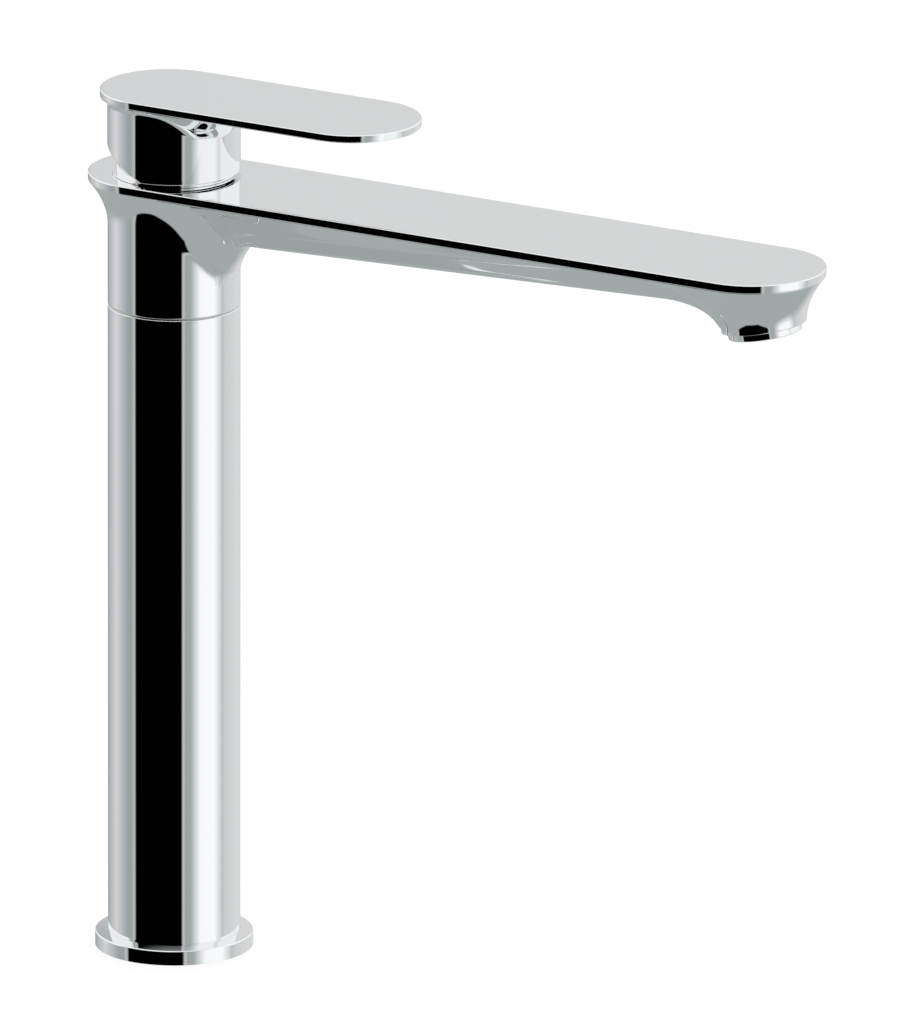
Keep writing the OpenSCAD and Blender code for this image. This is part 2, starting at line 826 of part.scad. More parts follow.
module spindle_guide() {
    slot_w = spindle_w + 2 * spindle_fit;
    front = spindle_w / 2 + spindle_swing;
    color("linen") difference() {
        union() {
            translate([0, 0, guide_z]) cylinder(r = guide_flange_r, h = guide_flange_t);
            translate([0, 0, guide_z]) cylinder(r = guide_neck_r, h = guide_top - guide_z);
            for (side = [-1, 1]) {
                y = side * (carrier_flat + lug_in + lug_t / 2);
                translate([-lug_w / 2, y - lug_t / 2, guide_z - lug_drop])
                    cube([lug_w, lug_t, lug_drop + over]);
            }
        }
        translate([-front, -slot_w / 2, guide_z - over])
            cube([front + guide_slot_front, slot_w, pivot_z - guide_z + over]);
        translate([-front, -slot_w / 2, guide_z - over])
            cube([front + guide_relief_front, slot_w, guide_relief_h + over]);
        translate([-guide_slot_back, -slot_w / 2, pivot_z])
            cube([guide_slot_back + front, slot_w, guide_top]);
        translate([0, 0, pivot_z]) rotate([90, 0, 0])
            cylinder(r = pin_r + run_fit / 3, h = 2 * guide_neck_r + over, center = true);
    }
}

module pivot_pin() {
    color("silver") translate([0, 0, pivot_z]) rotate([90, 0, 0])
        cylinder(r = pin_r, h = pin_len, center = true);
}

module disc_carrier() {
    slot = ball_r + ball_fit;
    color("lightgray") difference() {
        intersection() {
            translate([disc_start, 0, carrier_z]) cylinder(r = carrier_r, h = carrier_t);
            translate([-2 * carrier_r, -carrier_flat, carrier_z])
                cube([4 * carrier_r, 2 * carrier_flat, carrier_t]);
        }
        translate([-slot, -slot - ball_fit, ball_z - ball_r - ball_floor_gap])
            cube([2 * slot, 2 * (slot + ball_fit), carrier_t]);
    }
}

module moving_disc() {
    color("ivory") difference() {
        translate([disc_start, 0, moving_disc_z]) cylinder(r = moving_disc_r, h = moving_disc_t);
        translate([disc_start, 0, moving_disc_z - over])
            cylinder(r = moving_cup_r, h = moving_cup_depth + over);
    }
}

// The lever's blend into its skirt is small at the back and sides and deeper under the handle
function lever_ring(depth) = [
    for (i = [0 : sides - 1])
        let (
            angle = 360 * i / sides,
            over = overhang(angle, lever_r - lever_inset, lever_back_x, skirt_r, lever_flare),
            out = flared_r(depth, skirt_r, over, lever_flare)
        )
        [out * cos(angle), out * sin(angle), lever_rim_z - depth]
];

module lever_skirt() {
    loft(concat(
        [lifted(lever_ring(0), lever_rim_z + lever_plate_t / 2)],
        [for (share = flare_shares) lever_ring(lever_depth * share)],
        [circle_ring(skirt_r, skirt_z)]
    ), sides);
}

module lever_handle() {
    hole_w = spindle_w + slip_fit;
    roof = lever_top - lever_plate_t - roof_t;
    color(chrome) difference() {
        union() {
            long_plate(lever_back_x, lever_tip_x, lever_r, lever_rim_z, lever_plate_t);
            difference() {
                lever_skirt();
                translate([0, 0, skirt_z - over]) cylinder(r = skirt_bore_r, h = roof - skirt_z + over);
            }
            translate([0, 0, boss_z]) cylinder(r = boss_r, h = lever_rim_z + over - boss_z);
        }
        translate([-hole_w / 2, -hole_w / 2, boss_z - over])
            cube([hole_w, hole_w, spindle_top + slip_fit + over - boss_z]);
        translate([0, 0, grub_z]) rotate([0, -90, 0]) cylinder(r = grub_r + slip_fit, h = boss_r + over);
        translate([0, 0, grub_z]) rotate([0, -90, 0])
            translate([0, 0, skirt_bore_r - over]) cylinder(r = plug_r + slip_fit, h = skirt_r);
        translate([0, 0, skirt_z]) rotate([0, lift_angle, 0])
            translate([-3 * skirt_r, -2 * skirt_r, -2 * skirt_r])
                cube([3 * skirt_r, 4 * skirt_r, 2 * skirt_r]);
    }
}

module lever_spindle() {
    half = spindle_w / 2;
    color("silver") difference() {
        union() {
            translate([-half, -half, pivot_z - hub_drop])
                cube([spindle_w, spindle_w, spindle_top - pivot_z + hub_drop]);
            translate([-shank_w / 2, -shank_depth / 2, ball_z]) cube([shank_w, shank_depth, ball_drop]);
            translate([0, 0, ball_z]) sphere(r = ball_r);
        }
        translate([0, 0, pivot_z]) rotate([90, 0, 0])
            cylinder(r = pin_r + run_fit, h = 2 * spindle_w, center = true);
    }
}

module grub_screw() {
    start = spindle_w / 2 + slip_fit / 2;
    color("silver") translate([0, 0, grub_z]) rotate([0, -90, 0]) difference() {
        translate([0, 0, start]) cylinder(r = grub_r, h = grub_len);
        translate([0, 0, start + grub_len / 2]) cylinder(r = grub_r / 2, h = grub_len, $fn = hex_sides);
    }
}

module screw_plug() {
    color("crimson") intersection() {
        translate([0, 0, grub_z]) rotate([0, -90, 0]) translate([0, 0, skirt_r - plug_len])
            cylinder(r = plug_r, h = plug_len + over);
        translate([0, 0, skirt_z]) cylinder(r = skirt_r - run_fit, h = lever_h);
    }
}

base_flange();
base_gasket();
base_block();
column_tube();
hot_riser();
cold_riser();
riser_seals();
valve_body();
joint_washer();
lower_glide_ring();
upper_glide_ring();
swivel_seals();
cartridge_base();
port_seals();
fixed_disc();
cartridge_housing();
cartridge_nut();
dome_cover();
spout_head();
swivel_screw();
aerator_shell();
aerator_insert();
aerator_screen();
aerator_seal();
spindle_guide();
pivot_pin();
disc_carrier();
moving_disc();
lever_handle();
lever_spindle();
grub_screw();
screw_plug();
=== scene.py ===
import bpy
import bmesh
from math import pi, sin, cos, tan, acos, atan2, sqrt, radians
from mathutils import Matrix, Vector


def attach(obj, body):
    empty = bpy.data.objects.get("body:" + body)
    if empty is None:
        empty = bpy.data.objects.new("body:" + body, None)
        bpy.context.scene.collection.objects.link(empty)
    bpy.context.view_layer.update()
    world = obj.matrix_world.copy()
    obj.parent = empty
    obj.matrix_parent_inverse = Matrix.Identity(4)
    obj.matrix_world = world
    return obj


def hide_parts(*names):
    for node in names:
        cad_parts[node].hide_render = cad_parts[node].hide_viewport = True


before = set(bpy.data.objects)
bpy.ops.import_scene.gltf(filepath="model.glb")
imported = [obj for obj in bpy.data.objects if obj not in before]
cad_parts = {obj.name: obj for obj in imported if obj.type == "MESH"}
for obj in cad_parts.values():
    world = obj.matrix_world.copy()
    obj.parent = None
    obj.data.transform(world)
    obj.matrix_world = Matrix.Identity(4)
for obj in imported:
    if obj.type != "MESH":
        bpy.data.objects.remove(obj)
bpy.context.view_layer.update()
mm = 0.001

# Camera: a long lens a little above the tap, with the spout turned to the right
camera = {
    "lens": 1223.3,
    "sensor": 36.0,
    "place": (96.8, -11365.7, 3512.4),   # to the picture's right, into the picture and up; millimetres
    "pitch": 0.2875,
    "roll": 0.0023,
    "spoutTurn": 0.5247,                 # how far the spout is turned away from the picture's right
    "near": 1,                           # what the camera sees, in metres
    "far": 60,
}


def fromPicture(v, turn=camera["spoutTurn"]):
    # from the picture's right, depth and up to the tap's own axes
    return Vector((v[0] * cos(turn) - v[1] * sin(turn), v[0] * sin(turn) + v[1] * cos(turn), v[2]))


def makeCamera(c):
    forward = Vector((0, cos(c["pitch"]), -sin(c["pitch"])))
    upright = Vector((0, sin(c["pitch"]), cos(c["pitch"])))
    level = Vector((1, 0, 0))
    right = level * cos(c["roll"]) + upright * sin(c["roll"])
    up = upright * cos(c["roll"]) - level * sin(c["roll"])
    data = bpy.data.cameras.new("photoCamera")
    data.lens = c["lens"]
    data.sensor_width = c["sensor"]
    data.sensor_fit = "AUTO"
    data.clip_start = c["near"]
    data.clip_end = c["far"]
    obj = bpy.data.objects.new("photoCamera", data)
    bpy.context.scene.collection.objects.link(obj)
    axes = [fromPicture(v) for v in (right, up, -forward)]
    turn = Matrix(axes).transposed().to_4x4()
    obj.matrix_world = Matrix.Translation(fromPicture(Vector(c["place"])) * mm) @ turn
    bpy.context.scene.camera = obj


makeCamera(camera)
print("camera set")

# Studio: what the polished metal mirrors, round the tap and from below to above.
# Bearings go from the camera to the picture's right and heights from the horizon up, in degrees.
studio = {
    "bearings": [
        (-180, 0.725), (-172, 0.42), (-160, 0.40), (-120, 0.73), (-87, 0.385), (-78, 0.385),
        (-76, 0.52), (-72, 0.52), (-70, 0.0), (13.5, 0.0), (15, 0.55), (18, 0.55), (20, 0.40),
        (29, 0.42), (47, 1.04), (75, 1.06), (94, 0.57), (100, 0.66), (140, 0.75), (160, 0.71),
        (180, 0.725),
    ],
    "below": (0.4, 0.432, 0.43, 1),      # the floor as the metal sees it
    # where the floor's edge lies: bearing, height and half the width of its blur
    "floorEdge": [
        (-180, -26, 6), (-140, -21, 5), (-79, -21, 5), (-75, -29, 2), (-68, -33, 1.5),
        (-58, -38.5, 1.5), (-50, -42.5, 1.5), (-12, -42.5, 1.5), (13.4, -30, 1.8), (15, -28, 7),
        (35, -31, 7), (60, -35, 7), (100, -35, 7), (150, -34, 6), (180, -26, 6),
    ],
    # white cards on both sides, and the heights over which they begin
    "sideCards": [
        (-168, 0.0), (-160, 1.0), (-86, 1.0), (-79, 0.0), (84, 0.0), (90, 1.0), (150, 1.0), (160, 0.0),
    ],
    "sideCardsRise": (-12, -4),
    "overhead": 1.0,                     # the soft box above, and the heights over which it begins
    "overheadRise": (32, 42),
    "plain": 1.0,                        # the even light on everything that isn't metal
    "tint": (0.985, 1.0, 1.003, 1),
    # darker tones lose a little red, and those on the left gain a little blue
    "darkBelow": 0.62,
    "redLoss": 0.27,
    "blueGain": 1.03,
    "blueBetween": (-165, -76),
}


def feed(tree, socket, v):
    # a plain value or another node's output
    if isinstance(v, (int, float, tuple)):
        socket.default_value = v
    else:
        tree.links.new(v, socket)


def grey(v):
    return (v, v, v, 1)


def mathNode(tree, operation, *values):
    node = tree.nodes.new("ShaderNodeMath")
    node.operation = operation
    for socket, v in zip(node.inputs, values):
        feed(tree, socket, v)
    return node.outputs[0]


def rampNode(tree, factor, stops):
    node = tree.nodes.new("ShaderNodeValToRGB")
    ramp = node.color_ramp
    while len(ramp.elements) < len(stops):
        ramp.elements.new(0.5)
    for element, (place, v) in zip(ramp.elements, stops):
        element.position = place
        element.color = v if isinstance(v, tuple) else grey(v)
    feed(tree, node.inputs[0], factor)
    return node.outputs[0]


def mixNode(tree, factor, a, b, kind="RGBA", blend="MIX"):
    node = tree.nodes.new("ShaderNodeMix")
    node.data_type = kind
    slots, out = (0, 2, 3), 0
    if kind == "RGBA":
        node.blend_type = blend
        slots, out = (0, 6, 7), 2
    for i, v in zip(slots, (factor, a, b)):
        feed(tree, node.inputs[i], v)
    return node.outputs[out]


def cool(s, bearing, v):
    low, high = s["blueBetween"]
    red = 1 - s["redLoss"] * max(s["darkBelow"] - v, 0)
    blue = s["blueGain"] if low < bearing < high else 1.0
    return (v * red, v, v * blue, 1)


def makeStudio(s):
    world = bpy.data.worlds.new("studio")
    bpy.context.scene.world = world
    world.use_nodes = True
    tree = world.node_tree
    tree.nodes.clear()
    turn = tree.nodes.new("ShaderNodeVectorRotate")
    turn.rotation_type = "Z_AXIS"
    feed(tree, turn.inputs["Vector"], tree.nodes.new("ShaderNodeTexCoord").outputs["Generated"])
    feed(tree, turn.inputs["Angle"], -camera["spoutTurn"])
    parts = tree.nodes.new("ShaderNodeSeparateXYZ")
    feed(tree, parts.inputs[0], turn.outputs[0])
    x, y, z = parts.outputs
    bearing = mathNode(tree, "ARCTAN2", x, mathNode(tree, "MULTIPLY", y, -1.0))
    # bearing and height as shares of a whole and of half a turn, which the ramps take
    around = mathNode(tree, "MULTIPLY_ADD", bearing, 0.5 / pi, 0.5)
    height = mathNode(tree, "MULTIPLY_ADD", mathNode(tree, "ARCSINE", z), 1 / pi, 0.5)

    def byBearing(stops):
        return rampNode(tree, around, [((b + 180) / 360, v) for b, v in stops])

    def rise(low, high):
        return rampNode(tree, height, [((low + 90) / 180, 0.0), ((high + 90) / 180, 1.0)])

    bands = byBearing([(b, cool(s, b, v)) for b, v in s["bearings"]])
    edge = byBearing([(b, (h + 90) / 180) for b, h, w in s["floorEdge"]])
    blur = byBearing([(b, w / 90) for b, h, w in s["floorEdge"]])
    overEdge = mathNode(tree, "DIVIDE", mathNode(tree, "SUBTRACT", height, edge), blur)
    aboveFloor = mathNode(tree, "ADD", overEdge, 0.5)
    aboveFloor.node.use_clamp = True
    beside = mathNode(tree, "MULTIPLY", byBearing(s["sideCards"]), rise(*s["sideCardsRise"]))
    bands = mixNode(tree, beside, bands, grey(1))
    low = mixNode(tree, aboveFloor, s["below"], bands)
    high = mixNode(tree, rise(*s["overheadRise"]), low, grey(s["overhead"]))
    mirrored = mixNode(tree, 1.0, high, s["tint"], blend="MULTIPLY")
    rays = tree.nodes.new("ShaderNodeLightPath")
    seen = mixNode(tree, rays.outputs["Is Glossy Ray"], grey(s["plain"]), mirrored)
    seen = mixNode(tree, rays.outputs["Is Camera Ray"], seen, grey(1))
    light = tree.nodes.new("ShaderNodeBackground")
    feed(tree, light.inputs["Strength"], 1)
    feed(tree, light.inputs["Color"], seen)
    out = tree.nodes.new("ShaderNodeOutputWorld")
    feed(tree, out.inputs[0], light.outputs[0])


makeStudio(studio)
bpy.context.scene.view_settings.view_transform = "Standard"
print("studio lit")

# Finishes: roughness and a faint bump wander over each surface
wander = {"detail": 5, "roughness": 0.6, "bumpDepth": 0.0001}


def makeWander(w):
    group = bpy.data.node_groups.new("surfaceWander", "ShaderNodeTree")
    face = group.interface
    for name in ("Scale", "Smooth", "Dull", "Bump"):
        face.new_socket(name=name, in_out="INPUT", socket_type="NodeSocketFloat")
    for name, kind in (("Roughness", "Float"), ("Normal", "Vector"), ("Mask", "Float")):
        face.new_socket(name=name, in_out="OUTPUT", socket_type="NodeSocket" + kind)
    start = group.nodes.new("NodeGroupInput").outputs
    end = group.nodes.new("NodeGroupOutput").inputs
    noise = group.nodes.new("ShaderNodeTexNoise")
    feed(group, noise.inputs["Detail"], w["detail"])
    feed(group, noise.inputs["Roughness"], w["roughness"])
    feed(group, noise.inputs["Vector"], group.nodes.new("ShaderNodeTexCoord").outputs["Object"])
    feed(group, noise.inputs["Scale"], start["Scale"])
    spread = noise.outputs["Fac"]
    bump = group.nodes.new("ShaderNodeBump")
    feed(group, bump.inputs["Distance"], w["bumpDepth"])
    feed(group, bump.inputs["Strength"], start["Bump"])
    feed(group, bump.inputs["Height"], spread)
    feed(group, end["Roughness"], mixNode(group, spread, start["Smooth"], start["Dull"], kind="FLOAT"))
    feed(group, end["Normal"], bump.outputs[0])
    feed(group, end["Mask"], spread)
    return group


surfaceWander = makeWander(wander)


def finish(name, color, second, metal, smooth, dull, scale, bump):
    # the colour wanders between two tones, and the roughness between smooth and dull
    material = bpy.data.materials.new(name)
    material.use_nodes = True
    tree = material.node_tree
    shader = tree.nodes["Principled BSDF"].inputs
    wear = tree.nodes.new("ShaderNodeGroup")
    wear.node_tree = surfaceWander
    for socket, v in (("Scale", scale), ("Smooth", smooth), ("Dull", dull), ("Bump", bump)):
        feed(tree, wear.inputs[socket], v)
    feed(tree, shader["Metallic"], metal)
    feed(tree, shader["Roughness"], wear.outputs["Roughness"])
    if bump:
        feed(tree, shader["Normal"], wear.outputs["Normal"])
    feed(tree, shader["Base Color"], mixNode(tree, wear.outputs["Mask"], color + (1,), second + (1,)))
    return material


finishes = {
    "chrome": finish("polishedChrome", (0.9, 0.905, 0.91), (0.895, 0.902, 0.908), 1, 0.015, 0.03, 14, 0),
    "chromedPlastic": finish("chromedPlastic", (0.8, 0.81, 0.83), (0.78, 0.79, 0.81), 1, 0.08, 0.14, 60, 0.1),
    "brass": finish("machinedBrass", (0.8, 0.6, 0.27), (0.7, 0.5, 0.2), 1, 0.2, 0.4, 90, 0.2),
    "copper": finish("drawnCopper", (0.85, 0.45, 0.28), (0.7, 0.34, 0.2), 1, 0.2, 0.38, 60, 0.2),
    "steel": finish("brightSteel", (0.62, 0.62, 0.63), (0.5, 0.5, 0.51), 1, 0.18, 0.32, 120, 0.2),
    "seal": finish("sealRubber", (0.02, 0.02, 0.02), (0.035, 0.035, 0.035), 0, 0.55, 0.75, 200, 0.4),
    "ring": finish("acetalRing", (0.045, 0.045, 0.05), (0.06, 0.06, 0.065), 0, 0.4, 0.55, 150, 0.2),
    "whitePlastic": finish("mouldedWhite", (0.8, 0.8, 0.78), (0.74, 0.74, 0.72), 0, 0.35, 0.5, 150, 0.2),
    "greyPlastic": finish("mouldedGrey", (0.1, 0.105, 0.11), (0.13, 0.135, 0.14), 0, 0.4, 0.55, 150, 0.2),
    "ceramic": finish("lappedCeramic", (0.86, 0.84, 0.78), (0.82, 0.8, 0.74), 0, 0.1, 0.2, 100, 0.05),
}

# which CAD nodes have which finish
finishNodes = {
    "chrome": ["base_flange", "column_tube", "dome_cover", "spout_head", "aerator_shell", "lever_handle"],
    "chromedPlastic": ["screw_plug"],
    "brass": ["base_block", "valve_body", "cartridge_nut"],
    "copper": ["hot_riser", "cold_riser"],
    "steel": ["joint_washer", "swivel_screw", "aerator_screen", "pivot_pin", "lever_spindle", "grub_screw"],
    "seal": ["base_gasket", "riser_seals", "swivel_seals", "port_seals", "aerator_seal"],
    "ring": ["lower_glide_ring", "upper_glide_ring"],
    "whitePlastic": ["cartridge_housing", "aerator_insert", "spindle_guide"],
    "greyPlastic": ["cartridge_base", "disc_carrier"],
    "ceramic": ["fixed_disc", "moving_disc"],
}
for finishName, nodeNames in finishNodes.items():
    for nodeName in nodeNames:
        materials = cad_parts[nodeName].data.materials
        materials.clear()
        materials.append(finishes[finishName])
print("finishes made")

mergeDistance = 1e-7     # metres, as a bmesh has them
creaseAngle = 32         # edges sharper than this are shown sharp, in degrees
intoPlate = 0.6          # how far a wall under a plate rises into it


def newPiece(name, bm, finishName, body, node, weighted=False):
    # the piece rides on a body and takes the place of a CAD node
    bmesh.ops.remove_doubles(bm, verts=bm.verts, dist=mergeDistance)
    bmesh.ops.recalc_face_normals(bm, faces=bm.faces)
    for face in bm.faces:
        face.smooth = True
    for edge in bm.edges:
        edge.smooth = len(edge.link_faces) == 2 and edge.calc_face_angle(0) < radians(creaseAngle)
    mesh = bpy.data.meshes.new(name)
    bm.to_mesh(mesh)
    bm.free()
    mesh.materials.append(finishes[finishName])
    obj = bpy.data.objects.new(name, mesh)
    bpy.context.scene.collection.objects.link(obj)
    if weighted:
        even = obj.modifiers.new("evenNormals", "WEIGHTED_NORMAL")
        even.mode = "FACE_AREA"
        even.keep_sharp = True
    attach(obj, body)
    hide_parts(node)


def turned(profile, steps=192):
    # a closed outline, turned about the column's axis
    bm = bmesh.new()
    corners = [bm.verts.new((r * mm, 0, z * mm)) for r, z in profile]
    edges = [bm.edges.new((a, b)) for a, b in zip(corners, corners[1:] + corners[:1])]
    bmesh.ops.spin(bm, geom=corners + edges, cent=(0, 0, 0), axis=(0, 0, 1), dvec=(0, 0, 0),
                   angle=2 * pi, steps=steps, use_merge=True)
    bmesh.ops.remove_doubles(bm, verts=bm.verts, dist=mergeDistance)
    return bm


def softenEdges(bm, size, segments=3, least=25, test=None):
    # edges that turn by more than the least angle, in degrees, and pass the test
    sharp = [e for e in bm.edges if len(e.link_faces) == 2 and e.calc_face_angle(0) > radians(least)
             and (test is None or test(e))]
    bmesh.ops.bevel(bm, geom=sharp, offset=size * mm, offset_type="OFFSET", segments=segments,
                    profile=0.5, affect="EDGES", material=-1, clamp_overlap=True)


# Column and foot
column = {"radius": 22.5, "bore": 20.7, "foot": 3.0, "top": 226.25, "edge": 0.3}
flange = {"radius": 26.85, "inner": 22.52, "rim": 5.0, "rise": 0.6, "edge": 0.45}


def makeColumn(c):
    bm = turned([(c["bore"], c["foot"]), (c["radius"], c["foot"]),
                 (c["radius"], c["top"]), (c["bore"], c["top"])])
    softenEdges(bm, c["edge"], segments=4)
    newPiece("columnTube", bm, "chrome", "column", "column_tube", weighted=True)


def makeFlange(f):
    # its upper outer edge is rounded; the inner one meets the column
    inner, outer = f["inner"], f["radius"]
    middle = (inner + outer) / 2
    bm = turned([(inner, 0), (outer, 0), (outer, f["rim"]), (inner, f["rim"] + f["rise"])])
    softenEdges(bm, f["edge"], segments=4, least=20,
                test=lambda e: all(v.co.z > mm and v.co.xy.length > middle * mm for v in e.verts))
    newPiece("footFlange", bm, "chrome", "column", "base_flange", weighted=True)


makeColumn(column)
makeFlange(flange)
print("column made")

# Spout head: neck, plate, arm and nozzle.
# A pair for an edge is the size of its round and how far in the round's middle lies.
spout = {
    "plateTop": 272.3, "rim": 269.2, "width": 50.1, "back": 29.8, "reach": 249.5, "edge": 0.5, "inset": 0.15,
    "seam": 226.75, "radius": 22.5, "bore": 20.4, "seamEdge": (0.25, 0.07), "seamTop": 0.6,
}
# A flare leaves the column at a depth that grows with the plate's overhang, and both level off.
# The depth's limit is given for no overhang and for the widest.
neckFlare = {
    "least": 9.5, "rate": 2.3, "limit": (14.0, 34.0), "level": 12, "widest": 32.0, "power": 2.0,
    "deepest": 34.0,
}
# Depth and crease are given next to the neck and next to the nozzle
arm = {
    "rootX": 38.0, "tipX": 196.3, "depth": (16.6, 11.2), "crease": (8.9, 1.55), "keelHalf": 6.0,
    "keelRound": 6.5, "creaseHalf": 15.5, "creaseSoft": 1.4, "blend": 5.0, "blendRun": 11.0,
    "blendRim": 7.0, "sink": 0.03, "tipFilletX": 20.0, "tipFilletZ": 15.0, "tipFilletY": 15.0,
    "tipFilletMost": 0.95, "rootIn": 1.5, "rootRun": 30.0, "tipIn": 4.0,
}
nozzle = {
    "x": 229.3, "radius": 14.5, "drop": 17.4, "tilt": 10.5, "stub": 20.0, "stubTurn": 6, "power": 2.0,
    "bore": 12.55, "depth": 7.0, "edge": (0.12, 0.036),
}
aerator = {"radius": 12.45, "out": 2.6, "wall": 1.85, "in": 5.0, "lip": 1.0, "lipThick": 1.2, "edge": 0.3}
softMeet = 4         # power with which two limits of a flare pass into each other
leastSine = 0.01     # keeps the sides of a plate from running off along its length


def mix(a, b, share):
    return a + (b - a) * share


def clamp(v, low, high):
    return min(max(v, low), high)


def overhang(angle, radius, backX, inner, most):
    # how far a plate with round ends reaches over a column, seen from the column's axis, levelled off
    side = radius / max(abs(sin(angle)), leastSine)
    if side * cos(angle) < backX:
        side = backX * cos(angle) + sqrt(radius ** 2 - (backX * sin(angle)) ** 2)
    return (side - inner) * (1 + ((side - inner) / most) ** softMeet) ** (-1 / softMeet)


def flareRun(over, f):
    run = (f["least"] ** softMeet + (f["rate"] * over) ** softMeet) ** (1 / softMeet)
    limit = mix(*f["limit"], over / f["widest"])
    return (run ** -f["level"] + limit ** -f["level"]) ** (-1 / f["level"])


def flaredRadius(depth, inner, over, f):
    return inner + over * max(1 - depth / flareRun(over, f), 0) ** f["power"]


def flareDrop(radius, inner, over, f):
    # the depth at which the flare has a radius
    share = max((radius - inner) / over, 0)
    return flareRun(over, f) * (1 - share ** (1 / f["power"]))


def softMax(a, b, reach):
    if reach <= 0:
        return max(a, b)
    return max(a, b) + max(reach - abs(a - b), 0) ** 2 / (4 * reach)


def moved(bm, ring, place):
    # carries a ring of edges on to the next place; place gives a point for a vertex
    new = bmesh.ops.extrude_edge_only(bm, edges=ring)["geom"]
    verts = [g for g in new if isinstance(g, bmesh.types.BMVert)]
    edges = [g for g in new if isinstance(g, bmesh.types.BMEdge) and all(v in verts for v in g.verts)]
    for v in verts:
        v.co = place(v)
    return edges


def loft(count, places):
    # a ring of numbered points, carried through the places one after another; places give millimetres
    bm = bmesh.new()
    layer = bm.verts.layers.int.new("number")
    start = bmesh.ops.create_circle(bm, cap_ends=False, radius=1, segments=count)["verts"]
    for i, v in enumerate(start):
        v[layer] = i
        v.co = Vector(places[0](i)) * mm
    ring = list(bm.edges)
    for place in places[1:]:
        ring = moved(bm, ring, lambda v: Vector(place(v[layer])) * mm)
    return bm, ring


def closeLoft(bm):
    bmesh.ops.holes_fill(bm, edges=[e for e in bm.edges if len(e.link_faces) == 1], sides=0)


def ringOf(count, pointAt):
    # a place for loft, from a function that gives a point for an angle
    return lambda i: pointAt(2 * pi * i / count)


def circle(count, radius, z):
    return ringOf(count, lambda angle: (radius * cos(angle), radius * sin(angle), z))


def makePlate(backX, tipX, radius, low, top, edge, hole=0, sides=288):
    # a flat plate with round ends; the circle's two halves are pulled apart
    bm = bmesh.new()
    bmesh.ops.create_circle(bm, cap_ends=False, radius=radius * mm, segments=sides)
    for v in bm.verts:
        v.co.x += (tipX if v.co.x > mergeDistance else backX) * mm
        v.co.z = low * mm
    if hole:
        inner = bmesh.ops.create_circle(bm, cap_ends=False, radius=hole * mm, segments=sides)["verts"]
        bmesh.ops.translate(bm, verts=inner, vec=(0, 0, low * mm))
        bmesh.ops.bridge_loops(bm, edges=list(bm.edges))
    else:
        bmesh.ops.contextual_create(bm, geom=list(bm.edges))
    grown = bmesh.ops.extrude_face_region(bm, geom=list(bm.faces))["geom"]
    bmesh.ops.translate(bm, verts=[g for g in grown if isinstance(g, bmesh.types.BMVert)],
                        vec=(0, 0, (top - low) * mm))
    bmesh.ops.recalc_face_normals(bm, faces=bm.faces)
    outside = (hole + radius) / 2 * mm      # the hole keeps its edges
    softenEdges(bm, edge, segments=4, least=60,
                test=lambda e: min(v.co.xy.length for v in e.verts) > outside)
    return bm


def neckOver(angle):
    half = spout["width"] / 2
    return overhang(angle, half - spout["inset"], half - spout["back"], spout["radius"], neckFlare["widest"])


def makeNeck(s, sides=288, steps=60):
    size, middle = s["seamEdge"]
    roof = s["rim"] + intoPlate

    def wall(angle, depth, z):
        out = flaredRadius(depth, s["radius"], neckOver(angle), neckFlare)
        return (out * cos(angle), out * sin(angle), z)

    def level(depth, z):
        return ringOf(sides, lambda angle: wall(angle, depth, z))

    places = [circle(sides, s["bore"], s["seam"]), circle(sides, s["radius"] - size, s["seam"]),
              circle(sides, s["radius"] - middle, s["seam"] + middle),
              circle(sides, s["radius"], s["seam"] + size),
              circle(sides, s["radius"], s["seam"] + s["seamTop"])]
    depths = [neckFlare["deepest"] * (1 - k / steps) for k in range(steps + 1)]
    places += [level(depth, s["rim"] - depth) for depth in depths]
    places += [level(0, roof), circle(sides, s["bore"], roof)]
    bm, last = loft(sides, places)
    first = [e for e in bm.edges if len(e.link_faces) == 1 and e not in last]
    bmesh.ops.bridge_loops(bm, edges=last + first)
    return bm


def makeNozzle(n, s, sides=200, steps=48):
    tilt = radians(n["tilt"])
    mouthZ = s["rim"] - n["drop"]
    tipX = s["reach"] - s["width"] / 2
    rimRadius = s["width"] / 2 - s["inset"]
    size, middle = n["edge"]

    def tilted(radius, angle, h):
        x, y = radius * cos(angle), radius * sin(angle)
        return (n["x"] + x * cos(tilt) - h * sin(tilt), y, mouthZ + x * sin(tilt) + h * cos(tilt))

    def mouth(radius, h):
        return ringOf(sides, lambda angle: tilted(radius, angle, h))

    def wall(angle, share):
        # from the plate's round end, with a straight stub behind it, to the tilted mouth
        footX, footY, footZ = tilted(n["radius"], angle, 0)
        left = (1 - share) ** n["power"]
        centre = tipX - n["stub"] * (1 - clamp(cos(angle) * n["stubTurn"] + 0.5, 0, 1))
        rimX, rimY = centre + rimRadius * cos(angle), rimRadius * sin(angle)
        return (mix(footX, rimX, left), mix(footY, rimY, left), mix(s["rim"], footZ, share))

    places = [mouth(n["bore"], n["depth"]), mouth(n["bore"], size), mouth(n["bore"] + middle, middle),
              mouth(n["bore"] + size, 0), mouth(n["radius"] - size, 0), mouth(n["radius"] - middle, middle)]
    shares = [(1 - k / steps) * (1 - size / n["drop"]) for k in range(steps + 1)]
    places += [ringOf(sides, lambda angle, share=share: wall(angle, share)) for share in shares]
    places.append(ringOf(sides, lambda angle: wall(angle, 0)[:2] + (s["rim"] + intoPlate,)))
    bm, last = loft(sides, places)
    closeLoft(bm)
    return bm


